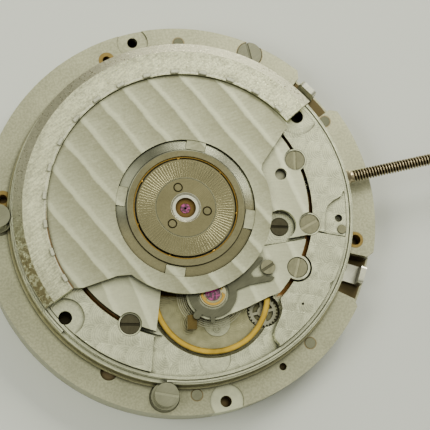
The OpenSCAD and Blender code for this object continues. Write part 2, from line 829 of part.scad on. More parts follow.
module regulator() {
    color(pale) difference() {
        union() {
            at(balance_p) tube(1.78, 1.22, 5.27, 5.42);
            slab(5.27, 5.42) difference() {
                union() {
                    // fork round the screw
                    polygon([[1.5, -7.2], [2.3, -6.72], [3.3, -6.56], [5.0, -6.62], [5.3, -6.45],
                        [4.95, -6.25], [3.75, -6.1], [3.6, -5.75], [3.9, -5.5], [4.75, -5.0], [4.8, -4.78],
                        [4.35, -4.7], [4.0, -4.98], [3.3, -5.65], [2.0, -6.26], [1.4, -5.8]]);
                    bar(balance_p + 1.6 * [cos(221), sin(221)], stud_p + [0.4, 0.35], 0.5);
                    bar(balance_p + [-0.4, -1.6], balance_p + [-0.5, -2.0], 0.3);
                }
                translate(regulator_screw) circle(r = 0.72);
                translate(balance_p) circle(r = 1.22);
            }
        }
    }
}

module shock_setting() {
    color(pale) at(balance_p) difference() {
        union() {
            disc(0.69, 4.98, 5.25);
            disc(1.0, 5.25, 5.36);
        }
        disc(0.14, 4.9, 5.5);
    }
}

module shock_spring() {
    color(gold) at(balance_p) slab(5.37, 5.45) {
        difference() {
            circle(r = 0.9);
            circle(r = 0.74);
            translate([0.4, -0.25]) square([1, 0.5]);
        }
        for (s = [-1, 1]) bar([-0.76, s * 0.1], [-0.62, s * 0.3], 0.1);
        for (s = [-1, 1]) bar([0.68, s * 0.36], [0.7, s * 0.16], 0.1);
    }
}

// ---- winding and setting ----
module winding_stem() {
    color(bronze) {
        along(0.24, 6.3, 7.45);
        intersection() {
            along(0.33, 7.4, 9.3);
            translate([7.4, -0.25, z_stem - 0.25]) cube([1.9, 0.5, 0.5]);
        }
        along(0.54, 9.3, 10.65);
        along(0.28, 10.65, 11.09);
        along(shoulder_r, 11.09, 13.2);
        along(0.45, 13.2, module_r + stem_out);
    }
}

module winding_pinion() {
    color(steel) difference() {
        translate([wind_x[0], 0, z_stem]) rotate([0, 90, 0])
            linear_extrude(wind_x[1] - wind_x[0]) gear(wind_r, 14, 0.14);
        along(0.56, 9, 11);
    }
}

module sliding_pinion() {
    color(steel) difference() {
        union() {
            translate([slide_x[0], 0, z_stem]) rotate([0, 90, 0])
                linear_extrude(0.77) gear(slide_r, 14, 0.12);
            along(groove_r, slide_x[0] + 0.5, slide_x[1] - 0.1);
            along(slide_r, slide_x[1] - 0.3, slide_x[1]);
        }
        translate([7, -0.27, z_stem - 0.27]) cube([3, 0.54, 0.54]);
    }
}

module setting_lever() {
    tip = setting_p + 2.62 * [-sin(9.6), cos(9.6)];
    color(steel) difference() {
        union() {
            slab(3.9, 4.1) {
                bar(setting_p, setting_p + 2.1 * [-sin(9.6), cos(9.6)], 0.4);
                bar(setting_p, tip, 0.26);
                translate(setting_p) circle(r = 0.42);
            }
            hole(setting_p, 0.27, 3.65, 4.4);
        }
        hole(setting_p, 0.12, 4.3, 5);
    }
}

module yoke() {
    tip = yoke_p + 1.72 * [sin(9.9), cos(9.9)];
    color(steel) {
        slab(3.9, 4.1) {
            bar(yoke_p, tip, 0.28);
            translate(yoke_p) circle(r = 0.42);
        }
        hole(yoke_p, 0.27, 3.65, 4.25);
    }
}

// ---- automatic winding ----
module reversing_wheel(p) {
    color(gold) at(p) slab(5.52, 5.68) difference() {
        gear(reverser_r, 26, 0.12);
        circle(r = 0.2);
    }
}

module reversing_pinion(p) {
    color(steel) at(p) {
        pinion(reverser_pinion_r, 4.86, 4.96, 10);
        disc(0.17, 4.86, 5.75);
    }
}

module reversing_wheel_a() { reversing_wheel(reverser_a_p); }

module reversing_wheel_b() { reversing_wheel(reverser_b_p); }

module reversing_pinion_a() { reversing_pinion(reverser_a_p); }

module reversing_pinion_b() { reversing_pinion(reverser_b_p); }

module reduction_wheel() {
    color(gold) at(reducer_p) {
        wheel(reduction_r, 4.86, 4.96, 50);
        pinion(0.4, 4.7, 4.82, 8);
        arbor(0.17, z_inner + 0.03, 4.97, 0.11);
    }
}

module bearing_core() {
    color(bronze) difference() {
        union() {
            disc(3.3, z_auto_top, 5.6);
            disc(3.66, 5.6, 5.8);
            disc(3.52, 5.8, 6.0);
            disc(3.66, 6.0, 6.18);
            disc(1.15, z_auto, z_auto_top);
        }
        disc(0.38, 4, 7);
        disc(0.76, 5.75, 7);
        disc(1.0, 6.04, 7);
        translate([0, 0, 6.08]) cylinder(r1 = 1.0, r2 = 1.12, h = 0.12);
        for (a = [97.5, -22.5, -142.5]) rotate(a) translate([1.6, 0, 0]) tube(0.34, 0.27, 6.1, 7);
        tube(2.25, 2.2, 6.14, 6.3);
    }
}

module bearing_ring() {
    color(bronze) difference() {
        union() {
            slab(5.54, 5.68) gear(rotor_gear_r, 106, 0.14);
            disc(4.4, 5.68, z_rotor);
            disc(5.17, z_rotor, 5.93);
            translate([0, 0, 5.93]) cylinder(r1 = 5.17, r2 = 4.4, h = 0.1);
            disc(4.38, 5.9, 6.2);
        }
        disc(3.9, 5, 7);
        tube(4.04, 3, 5.78, 6.02);
        tube(4.45, 4.38, 5.97, 6.3);
        for (a = tab_angles) rotate(a) translate([4.43, -0.75, z_rotor]) cube([1, 1.5, 1]);
    }
}

module bearing_balls() {
    color(gold) tube(3.88, 3.8, 6.0, 6.04);
    color(pale) for (i = [0:ball_count - 1])
        rotate(84 + 360 * i / ball_count) translate([3.78, 0, 5.9]) sphere(r = 0.15);
}

module rotor_outline() {
    n = 24;
    a0 = 27.0;
    a1 = 202.9;
    union() {
        intersection() {
            circle(r = 10.2, $fn = 180);
            polygon(concat([for (i = [0:n]) let (a = a0 + (a1 - a0) * i / n) 10.6 * [cos(a), sin(a)]],
                [[-9.4, -4.02], [-8.7, -4.15], [-6.1, -3.85], [-5.0, -4.0], [-3, -3], [5, 0], [6.1, 1.3],
                [6.45, 2.05]]));
        }
        circle(r = 6.45, $fn = 180);
    }
}

module rotor_plate() {
    color(pale) {
        slab(z_rotor, z_rotor_top) difference() {
            rotor_outline();
            circle(r = 5.2, $fn = 180);
        }
        // tabs that lie in the bearing ring's slots
        for (a = tab_angles) rotate(a) translate([4.46, -0.72, z_rotor]) cube([0.8, 1.44, 0.19]);
    }
}

module rotor_weight() {
    color(pale) rotate(28) rotate_extrude(angle = 175.2, $fn = 180) polygon([
        [9.85, z_weight + 0.1], [seam_r, z_weight + 0.1], [seam_r, z_weight], [12.7, z_weight],
        [12.7, z_top - 0.32], [12.0, z_top], [seam_r, z_top], [seam_r, z_rotor - 0.01],
        [9.85, z_rotor - 0.01]]);
}

module_plate();
module_cover();
module_bushings();
module_pins_screws();
casing_screws();
start_lever();
reset_lever();
flat_springs();
reset_hammer();
chrono_seconds_wheel();
minute_counter_wheel();
small_seconds_wheel();
hour_wheel();
cannon_pinion();
minute_wheel();
drive_wheel();
main_plate();
barrel_bridge();
train_bridge();
side_bridge_left();
side_bridge_right();
automatic_bridge();
balance_cock();
pallet_bridge();
bridge_screws();
jewels();
barrel_drum();
barrel_cover();
barrel_arbor();
mainspring();
ratchet_wheel();
crown_wheel();
click();
second_wheel();
third_wheel();
fourth_wheel();
escape_wheel();
pallet_fork();
balance_wheel();
balance_staff();
hairspring();
stud_block();
regulator();
shock_setting();
shock_spring();
winding_stem();
winding_pinion();
sliding_pinion();
setting_lever();
yoke();
reversing_wheel_a();
reversing_wheel_b();
reversing_pinion_a();
reversing_pinion_b();
reduction_wheel();
bearing_core();
bearing_ring();
bearing_balls();
rotor_plate();
rotor_weight();
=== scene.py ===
import math
import bpy
import bmesh
from mathutils import Matrix, Vector


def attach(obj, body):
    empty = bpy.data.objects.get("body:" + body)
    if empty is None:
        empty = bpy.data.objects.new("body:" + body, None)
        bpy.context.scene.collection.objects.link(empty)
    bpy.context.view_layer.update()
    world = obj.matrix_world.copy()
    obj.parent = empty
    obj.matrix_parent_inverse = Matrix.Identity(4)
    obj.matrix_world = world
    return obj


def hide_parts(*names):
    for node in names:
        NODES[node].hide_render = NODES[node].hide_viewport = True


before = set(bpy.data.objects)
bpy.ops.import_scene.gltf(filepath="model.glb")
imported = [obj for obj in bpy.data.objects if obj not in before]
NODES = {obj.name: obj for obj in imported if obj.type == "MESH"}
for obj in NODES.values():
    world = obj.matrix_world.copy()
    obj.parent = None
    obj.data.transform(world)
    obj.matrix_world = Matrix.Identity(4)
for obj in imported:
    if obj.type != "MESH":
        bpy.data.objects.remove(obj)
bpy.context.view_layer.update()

MM = 0.001
SCENE = bpy.context.scene

# ---------------------------------------------------------------- sizes, in millimetres
# Levels are heights above the dial seat. Places are (x, y) from the movement's axis.
MODULE_TOP = 2.9
DECK_TOP = 4.3
BRIDGE_TOP = 5.2
AUTOMATIC_TOP = 5.45
HUB_TOP = 6.18

BALANCE = (0.51, -6.56)
BALANCE_RIM_R = 4.19
OIL_HOLE = (7.75, 1.08)
OIL_HOLE_R = 0.46
CLAMP_HOLES = [(-10.4, -5.84), (10.21, 5.28)]
CLAMP_HOLE_R = 0.54
CLAMP_SINK_R = 1.45
SETTING_POST = (11.32, -3.06)
SETTING_POST_R = 0.31
SETTING_POST_TOP = 4.83
DECK_SINK = (-0.35, -11.14)     # smooth round patch in the grained deck
DECK_SINK_R = 1.2
BARE_RIM = (12.30, 12.38)       # radii where the deck's graining fades out
SLIT = (9.32, 9.35, 9.70, 9.74)         # radii of the slit between the bridges, with soft edges
SLIT_LEVELS = (4.0, 4.1, 4.85, 4.90)    # its heights, with soft edges
SLIT_BROWN_START = (-7.9, -7.6)       # y from which the slit turns brown
SLIT_BRIGHT = (-3.0, -4.5)      # y below which the brown turns orange

FOOT_SCREW = (8.34, 11.44)
FOOT_SCREW_R = 0.96
PLATE_PINS = [(3.11, 13.46), (12.78, 4.94), (7.2, -11.56), (-2.1, -13.36)]
PLATE_PIN_R = 0.40
COUNTERBORE = (-0.02, -14.3)
COUNTERBORE_R = 1.28
MODULE_BORES = [(-0.08, -14.31), (4.72, -12.8), (-8.05, -10.2), (-2.66, 13.24), (12.66, -4.66),
                (-12.8, 4.24)]
MODULE_BORE_R = 0.66
NOTCH_DEPTH = (14.9, 14.8)      # radii between which the notches turn brown

SLOT_R = 0.9
DARK_SCREWS = [(-5.96, -7.4), (6.76, -2.7), (-3.4, 8.6)]
DARK_SCREW_R = 0.84
# screws whose slot floors get a painted highlight, and those whose slot floors get painted shade
HIGHLIT_SLOT_SCREWS = [(9.14, 1.95), (8.96, -3.08)]
SHADED_SLOT_SCREWS = [(-5.96, -7.4), (-6.65, 6.65)]
EDGE_SCREW_TOP = 5.16           # of the screws whose slot floors are painted lighter as a highlight and darker as shade
SUNK_SCREWS = [(6.76, -2.7), (-3.4, 8.6)]
SUNK_SCREW_TOP = 4.71
COCK_SCREW = (7.21, -6.07)
COCK_SCREW_TOP = 5.22
REGULATOR_SCREW = (5.0, -5.59)
REGULATOR_SCREW_TOP = 5.55
CASE_SCREWS = [(-4.49, -12.96), (-13.47, 2.67)]
CASE_SCREW_TOP = 4.85
FOOT_SCREW_TOP = 2.95

WEIGHT_LINE = (10.29, 10.33, 10.38, 10.43)      # radii of the light line at its seam, painted as a highlight
WEIGHT_SEAM = (10.36, 10.32)                    # radii between which the seam turns brown
WEIGHT_SHEEN = (10.5, 11.0, 11.3, 11.8)         # radii of the painted sheen along the middle of its top
WEIGHT_CHAMFER = (11.95, 12.03)                 # radii between which its top turns into the chamfer

STRIPE_PITCH = 2.0
LATHE_PITCH = 0.11
FLANGE = (4.30, 4.36)           # radii between which the bearing ring turns into its polished flange
CORE_BORE_R = 0.78
CORE_BUSH_R = 1.13
CORE_LINE = (2.17, 2.2, 2.26, 2.29)     # radii of the pale line round the hub's middle
DIMPLE_R = 1.6
DIMPLE_ANGLES = (97.5, -22.5, -142.5)

RAY_COUNT = 100
RAY_START = 2.32
RAY_END = 3.56
RAY_HEIGHT = 0.009
RAY_FILL = 0.72                 # part of the circle that the rays cover

TAB_COUNT = 15
TAB_FIRST, TAB_LAST = 34.0, 198.0       # degrees
TAB_R, TAB_Z = 10.41, 6.25              # middle of the tabs on the seam of the weight
TAB_SIZE = (0.28, 0.60, 0.50)

SPRING_TURNS = 15
SPRING_INNER, SPRING_OUTER = 0.45, 2.6
SPRING_STEPS = 36               # in one turn
SPRING_END = 221                # degrees, where the stud holds it
SPRING_WIDTH = 0.035
SPRING_LOW, SPRING_HIGH = 4.62, 4.76

STEM_Z = 4.0
STEM_END = 28.0
STEM_STEPS = 32                 # round the stem
THREAD_START = 13.35
THREAD_PITCH = 0.225
THREAD_STEPS = 8                # in one pitch
THREAD_R = 0.45
THREAD_ROOT_R = 0.31
# (x, radius) from the square end to the start of the thread
STEM_PROFILE = [(6.3, 0.01), (6.3, 0.24), (7.4, 0.24), (7.4, 0.32), (9.3, 0.32), (9.3, 0.54),
                (10.65, 0.54), (10.65, 0.28), (11.09, 0.28), (11.09, 0.62), (13.1, 0.62),
                (13.2, THREAD_R), (THREAD_START, THREAD_R)]

# Widths of the bevels on the CAD nodes.
BEVELS = {"module_plate": 0.08, "main_plate": 0.05, "side_bridge_left": 0.08,
          "side_bridge_right": 0.08, "barrel_bridge": 0.05, "automatic_bridge": 0.07,
          "balance_cock": 0.06, "rotor_plate": 0.05, "rotor_weight": 0.06, "balance_wheel": 0.10,
          "regulator": 0.03, "casing_screws": 0.07, "bridge_screws": 0.05, "bearing_ring": 0.015,
          "stud_block": 0.05, "start_lever": 0.06, "reset_lever": 0.06}

# ---------------------------------------------------------------- colours, linear
NICKEL = (0.555, 0.56, 0.38)
NICKEL_LIGHT = (0.71, 0.72, 0.50)
NICKEL_PALE = (0.80, 0.81, 0.57)
# NICKEL_DARK: the dark end of the rotor stripes' painted reflection, and the painted shade of the bridges'
# lower faces
NICKEL_DARK = (0.36, 0.355, 0.225)
MODULE_NICKEL = (0.48, 0.475, 0.315)
# recess floors of the main plate: frosted, and darkened as painted shade
RECESS_FROST_AND_SHADE = (0.43, 0.41, 0.235)
# chamfers and the weight's seam line, painted lighter as a highlight
CHAMFER_HIGHLIGHT = (0.86, 0.85, 0.66)
WEIGHT_TOP = (0.64, 0.64, 0.43)
# the weight's outer chamfer in painted shade: darker on the right, lighter on the left, darkest low on the
# left
WEIGHT_EDGE_SHADED_RIGHT = (0.48, 0.47, 0.33)
WEIGHT_EDGE_LIT_LEFT = (0.56, 0.545, 0.375)
WEIGHT_EDGE_SHADOW_LOW = (0.145, 0.145, 0.085)
STAIN = (0.052, 0.044, 0.020)
OLIVE = (0.30, 0.275, 0.155)
HUB_OLIVE = (0.29, 0.26, 0.14)
# painted reflection on the far side of the bearing ring's polished flange
FLANGE_REFLECTION = (0.36, 0.365, 0.26)
DIMPLE_LINE = (0.10, 0.085, 0.04)
BUSH_STEEL = (0.92, 0.91, 0.72)
# brass down the hub's bore, darkened as painted shade
BORE_BRASS_IN_SHADE = (0.24, 0.15, 0.05)
TAB_STEEL = (0.80, 0.80, 0.60)
GOLD = (0.82, 0.50, 0.10)
BALANCE_GOLD = (0.85, 0.56, 0.078)
PALE_GOLD = (0.86, 0.78, 0.46)
DULL_BRASS = (0.36, 0.25, 0.08)
STEEL = (0.47, 0.46, 0.33)
LEVER_STEEL = (0.84, 0.83, 0.66)
BLACK_STEEL = (0.17, 0.17, 0.115)
SCREW_STEEL = (0.40, 0.385, 0.245)
SCREW_DARK = (0.115, 0.105, 0.065)
# screw chamfers, painted lighter as a highlight
SCREW_EDGE_HIGHLIGHT = (0.55, 0.53, 0.38)
CASE_SCREW_STEEL = (0.37, 0.37, 0.25)
FOOT_SCREW_STEEL = (0.46, 0.455, 0.315)
PIN_STEEL = (0.30, 0.30, 0.20)
# casing screw chamfers, painted lighter as a highlight
CASE_SCREW_EDGE_HIGHLIGHT = (0.75, 0.73, 0.54)
BRONZE = (0.27, 0.19, 0.08)
STUD_BRONZE = (0.15, 0.108, 0.037)
# thread crests painted lighter as a highlight, roots darker as painted shade
THREAD_CREST_HIGHLIGHT = (0.50, 0.42, 0.26)
THREAD_ROOT_SHADE = (0.07, 0.045, 0.02)
NOTCH_BRONZE = (0.11, 0.085, 0.04)
# painted shade down the module's bores
BORE_SHADE = (0.20, 0.15, 0.08)
# painted shade down holes
HOLE_SHADE = (0.035, 0.030, 0.018)
SLIT_BROWN = (0.16, 0.085, 0.03)
SLIT_ORANGE = (0.60, 0.30, 0.09)
RUBY = (0.42, 0.015, 0.16)
# paler patches painted into the ruby as glints
RUBY_GLINT = (0.48, 0.04, 0.24)
RUBY_DARK = (0.07, 0.002, 0.03)
FLOOR_PALE = (0.74, 0.76, 0.70)

# ---------------------------------------------------------------- camera and light
CAMERA_DISTANCE = 120 * MM
CAMERA_AZIMUTH = -133.76
CAMERA_ELEVATION = 75.44
CAMERA_ROLL = 30.38
CAMERA_LENS = 132.36
CAMERA_SENSOR = 36
CAMERA_AIM = Vector((2.539, -0.438, 3.0)) * MM

# The room's colour by direction, from level (0) to straight up (1).
SKY = [(0.0, (0.20, 0.20, 0.17)), (0.55, (0.30, 0.30, 0.26)), (0.80, (0.54, 0.545, 0.475)),
       (1.0, (0.86, 0.865, 0.75))]
SKY_STRENGTH = 0.93
# (name, place in mm, size in mm, watts, colour)
LIGHTS = [("key", (110, 105, 140), (90, 80), 0.27, (1.0, 0.995, 0.90)),
          ("fill", (-100, 0, 130), (80, 80), 0.12, (0.98, 1.0, 0.90)),
          ("rake", (60, 160, 60), (120, 30), 0.07, (1.0, 0.97, 0.90))]


def make_camera():
    """The camera at the photograph's angle, turned about its own line of sight by the roll."""
    az, el, roll = (math.radians(v) for v in (CAMERA_AZIMUTH, CAMERA_ELEVATION, CAMERA_ROLL))
    back = Vector((math.cos(el) * math.cos(az), math.cos(el) * math.sin(az), math.sin(el)))
    side = Vector((0, 0, 1)).cross(back).normalized()
    right = math.cos(roll) * side + math.sin(roll) * back.cross(side)
    turn = Matrix((right, back.cross(right), back)).transposed().to_4x4()
    data = bpy.data.cameras.new("camera")
    data.lens = CAMERA_LENS
    data.sensor_width = CAMERA_SENSOR
    data.clip_start = 1 * MM
    data.clip_end = 5
    camera = bpy.data.objects.new("camera", data)
    camera.matrix_world = Matrix.Translation(CAMERA_AIM + back * CAMERA_DISTANCE) @ turn
    SCENE.collection.objects.link(camera)
    SCENE.camera = camera


def area_light(name, place, size, power, color):
    """A soft box that faces the origin."""
    data = bpy.data.lights.new(name, "AREA")
    data.shape = "RECTANGLE"
    data.size, data.size_y = size[0] * MM, size[1] * MM
    data.energy = power
    data.color = color
    light = bpy.data.objects.new(name, data)
    light.location = Vector(place) * MM
    light.rotation_euler = Vector(place).to_track_quat("Z", "Y").to_euler()
    SCENE.collection.objects.link(light)


def make_light():
    """A pale room, darker towards the horizon, with two soft boxes and a low glancing one."""
    world = bpy.data.worlds.new("studio")
    SCENE.world = world
    world.use_nodes = True
    nodes, links = world.node_tree.nodes, world.node_tree.links
    back = nodes["Background"]
    place = nodes.new("ShaderNodeTexCoord")
    split = nodes.new("ShaderNodeSeparateXYZ")
    ramp = nodes.new("ShaderNodeValToRGB")
    links.new(place.outputs["Generated"], split.inputs[0])
    links.new(split.outputs["Z"], ramp.inputs[0])
    links.new(ramp.outputs[0], back.inputs["Color"])
    elements = ramp.color_ramp.elements     # a new ramp has two
    for i, (at, color) in enumerate(SKY):
        stop = elements[i] if i < 2 else elements.new(at)
        stop.position = at
        stop.color = (*color, 1)
    back.inputs["Strength"].default_value = SKY_STRENGTH
    for light in LIGHTS:
        area_light(*light)


# ---------------------------------------------------------------- material nodes
class Surface:
    """One material as a tree of nodes. Lengths are in millimetres and, because the CAD nodes and
    the pieces have their origin at the part's, places are those of the part at rest.

    A value is a number, a colour or a node's output."""

    def __init__(self, name, color, rough, metallic=1.0):
        self.mat = bpy.data.materials.new(name)
        self.mat.use_nodes = True
        self.tree = self.mat.node_tree
        self.shader = self.tree.nodes["Principled BSDF"]
        self.shader.inputs["Metallic"].default_value = metallic
        self.shader.inputs["Roughness"].default_value = rough
        self.shader.inputs["Base Color"].default_value = (*color, 1)
        place = self.node("ShaderNodeTexCoord")
        self.point = self.scaled(place.outputs["Object"], 1 / MM)
        self.x, self.y, self.z = self.split(self.point)
        self.up = self.split(place.outputs["Normal"])[2]
        self.normal = None
        self.shadow_reach = 0.4     # mm round a corner that its darkening spreads
        self.shadow_depth = -0.80   # change of tone at full darkening

    def node(self, kind):
        return self.tree.nodes.new(kind)

    def link(self, value, target):
        """Feeds an input."""
        if isinstance(value, tuple):
            target.default_value = value if len(target.default_value) == 3 else (*value, 1)
        elif isinstance(value, (int, float)):
            target.default_value = value
        else:
            self.tree.links.new(value, target)

    # ---- arithmetic
    def split(self, vector):
        """The three outputs x, y, z of a vector."""
        n = self.node("ShaderNodeSeparateXYZ")
        self.link(vector, n.inputs[0])
        return list(n.outputs)

    def scaled(self, vector, factor):
        n = self.node("ShaderNodeVectorMath")
        n.operation = "SCALE"
        self.link(vector, n.inputs[0])
        self.link(factor, n.inputs["Scale"])
        return n.outputs["Vector"]

    def math(self, operation, *values):
        n = self.node("ShaderNodeMath")
        n.operation = operation
        for value, target in zip(values, n.inputs):
            self.link(value, target)
        return n.outputs[0]

    def chain(self, operation, values):
        """The operation carried through all values, two at a time."""
        result = values[0]
        for value in values[1:]:
            result = self.math(operation, result, value)
        return result

    def add(self, *values):
        return self.chain("ADD", values)

    def times(self, *values):
        return self.chain("MULTIPLY", values)

    def largest(self, *values):
        return self.chain("MAXIMUM", values)

    def minus(self, a, b):
        return self.math("SUBTRACT", a, b)

    def length(self, a, b):
        """Length of the vector (a, b)."""
        return self.math("SQRT", self.add(self.times(a, a), self.times(b, b)))

    def rise(self, value, start, end):
        """0 at start, 1 at end, smooth between and level outside; end may be below start."""
        n = self.node("ShaderNodeMapRange")
        n.interpolation_type = "SMOOTHSTEP"
        self.link(value, n.inputs["Value"])
        n.inputs["From Min"].default_value = start
        n.inputs["From Max"].default_value = end
        return n.outputs["Result"]

    def between(self, value, start, full, still_full, end):
        """1 from full to still_full, 0 below start and above end."""
        return self.times(self.rise(value, start, full), self.rise(value, end, still_full))

    def spread(self, value, amount):
        """A 0 to 1 value moved to lie around 0 and scaled."""
        return self.times(self.add(value, -0.5), amount)

    def contrast(self, value):
        """Noise spread over its full range."""
        return self.rise(value, 0.36, 0.64)

    # ---- where
    def radius(self, x=0.0, y=0.0):
        """Distance from the upright line through (x, y)."""
        return self.length(self.minus(self.x, x), self.minus(self.y, y))

    def below(self, level, blend=0.1):
        """1 under level, growing over blend."""
        return self.rise(self.z, level, level - blend)

    def near(self, places, reach):
        """1 within reach of any of the upright lines through places."""
        edge = 0.02
        return self.largest(*[self.rise(self.radius(x, y), reach + edge, reach - edge)
                              for x, y in places])

    def slot_floor(self, places, top):
        """1 on the floor of the slots in screw heads at these places, with their tops at top."""
        level = self.between(self.z, top - 0.25, top - 0.19, top - 0.09, top - 0.05)
        return self.times(level, self.near(places, SLOT_R))

    def chamfer(self):
        """1 on sloping faces, 0 on flat tops and upright walls."""
        return self.between(self.up, 0.2, 0.45, 0.85, 0.97)

    def wall(self):
        """1 on upright walls and undersides."""
        return self.rise(self.up, 0.35, 0.1)

    # ---- patterns
    def noise(self, size, detail=2.0, stretch=(1, 1, 1), turn=0.0):
        """Noise with features of about that size, stretched along the turned axes."""
        n = self.node("ShaderNodeTexNoise")
        place = self.node("ShaderNodeMapping")
        place.vector_type = "TEXTURE"
        place.inputs["Rotation"].default_value = (0, 0, math.radians(turn))
        place.inputs["Scale"].default_value = stretch
        self.link(self.point, place.inputs["Vector"])
        self.link(place.outputs["Vector"], n.inputs["Vector"])
        n.inputs["Scale"].default_value = 1 / size
        n.inputs["Detail"].default_value = detail
        return n.outputs["Fac"]

    def hairlines(self, turn):
        """Fine straight scratches."""
        return self.noise(0.10, 2.0, (8.0, 1.0, 1.0), turn)

    def lathe_rings(self, r):
        """Concentric ripples from -1 to 1."""
        return self.math("SINE", self.times(r, 2 * math.pi / LATHE_PITCH))

    def random(self, u, v):
        """A random number for each cell (u, v)."""
        cell = self.node("ShaderNodeCombineXYZ")
        self.link(u, cell.inputs[0])
        self.link(v, cell.inputs[1])
        n = self.node("ShaderNodeTexWhiteNoise")
        n.noise_dimensions = "2D"
        self.link(cell.outputs[0], n.inputs["Vector"])
        return n.outputs["Value"]

    # ---- colour
    def mix(self, factor, a, b):
        """a where factor is 0, b where it is 1."""
        n = self.node("ShaderNodeMix")
        n.data_type = "RGBA"
        self.link(factor, n.inputs[0])
        self.link(a, n.inputs[6])
        self.link(b, n.inputs[7])
        return n.outputs[2]

    def shade(self, color, amount):
        """color scaled by 1 + amount."""
        return self.scaled(color, self.add(amount, 1.0))

    def painted_corner_shade(self, color):
        """color darkened with painted shade in corners and under edges, where other surfaces stand close.
        """
        n = self.node("ShaderNodeAmbientOcclusion")
        n.samples = 8
        n.inputs["Distance"].default_value = self.shadow_reach * MM
        return self.shade(color, self.times(self.rise(n.outputs["AO"], 0.95, 0.35), self.shadow_depth))

    def brown_slit(self, color):
        """color turned dark brown in the circular slit between the bridges, orange towards the balance."""
        ring = self.times(self.between(self.radius(), *SLIT), self.between(self.z, *SLIT_LEVELS))
        browned = self.times(ring, self.rise(self.y, *SLIT_BROWN_START))
        slit_tint = self.mix(self.rise(self.y, *SLIT_BRIGHT), SLIT_BROWN, SLIT_ORANGE)
        return self.mix(browned, color, slit_tint)

    def speckle(self, size, depth, tone, color):
        """Sand-blasted grain: relief and small changes of tone. Returns the toned colour."""
        grain = self.noise(size, 3.0)
        cloud = self.noise(2.5, 3.0)
        self.bump(grain, depth)
        fine = self.spread(self.contrast(grain), tone * 0.35)
        return self.shade(color, self.add(fine, self.spread(cloud, 0.35)))

    # ---- the shader's inputs
    def paint(self, color):
        # painted shade in corners and under edges, on every surface
        self.link(self.painted_corner_shade(color), self.shader.inputs["Base Color"])

    def paint_chamfered(self, color, edge=CHAMFER_HIGHLIGHT, wall_shade=-0.55):
        """Paints with polished chamfers, painted lighter in the colour edge as a highlight, and with
        upright walls darkened as painted shade.
        """
        # upright walls darkened as painted shade, chamfers painted lighter as a highlight
        color = self.shade(color, self.times(self.wall(), wall_shade))
        self.paint(self.mix(self.chamfer(), color, edge))

    def roughen(self, value):
        self.link(value, self.shader.inputs["Roughness"])

    def bump(self, height, depth):
        """Adds relief of that depth."""
        n = self.node("ShaderNodeBump")
        n.inputs["Strength"].default_value = 1.0
        n.inputs["Distance"].default_value = depth * MM
        self.link(height, n.inputs["Height"])
        if self.normal is not None:
            self.link(self.normal, n.inputs["Normal"])
        self.normal = n.outputs[0]
        self.link(self.normal, self.shader.inputs["Normal"])


# ---------------------------------------------------------------- finishes
def turned_axes(s, angle):
    """Coordinates along and across a direction in the plane of the plates."""
    cos, sin = math.cos(math.radians(angle)), math.sin(math.radians(angle))
    along = s.add(s.times(s.x, cos), s.times(s.y, sin))
    across = s.add(s.times(s.x, -sin), s.times(s.y, cos))
    return along, across


def striped(name, angle, light, dark, shadow_reach=0.4):
    """Broad straight stripes, each a bright crest that fades slowly to a darker edge: the stripes are
    ground, their light and dark a painted reflection.
    """
    s = Surface(name, light, 0.34)
    s.shadow_reach = shadow_reach
    _, across = turned_axes(s, angle)
    bend = s.spread(s.noise(2.2, 2.0), 0.35)
    part = s.math("FRACT", s.math("DIVIDE", s.add(across, bend), STRIPE_PITCH))
    start = s.rise(part, 0.0, 0.10)
    fade = s.times(start, s.minus(1.0, part))
    cloud = s.noise(1.3, 3.0)
    crest = s.times(start, s.rise(part, 0.30, 0.10), s.add(0.45, s.times(cloud, 1.1)))
    arcs = s.noise(0.13, 2.0, (1.0, 7.0, 1.0), angle - 20)
    fine = s.noise(0.17, 3.0)
    # painted reflection: bright at the crest, fading to a darker edge
    tone = s.add(s.times(crest, 0.58), s.times(s.add(fade, -0.55), 0.70))
    tone = s.add(tone, s.spread(arcs, 0.45), s.spread(fine, 0.45), s.spread(cloud, 0.35))
    color = s.brown_slit(s.mix(s.rise(tone, -0.65, 0.70), dark, light))
    # painted shade, mottled, down the hole in the automatic bridge
    hole = s.times(s.near([OIL_HOLE], OIL_HOLE_R), s.below(AUTOMATIC_TOP - 0.15))
    s.paint_chamfered(s.mix(s.times(hole, s.contrast(s.noise(0.2, 2.0))), color, HOLE_SHADE))
    s.roughen(s.add(0.28, s.times(fine, 0.2)))
    s.bump(crest, 0.006)
    s.bump(arcs, 0.005)
    return s.mat


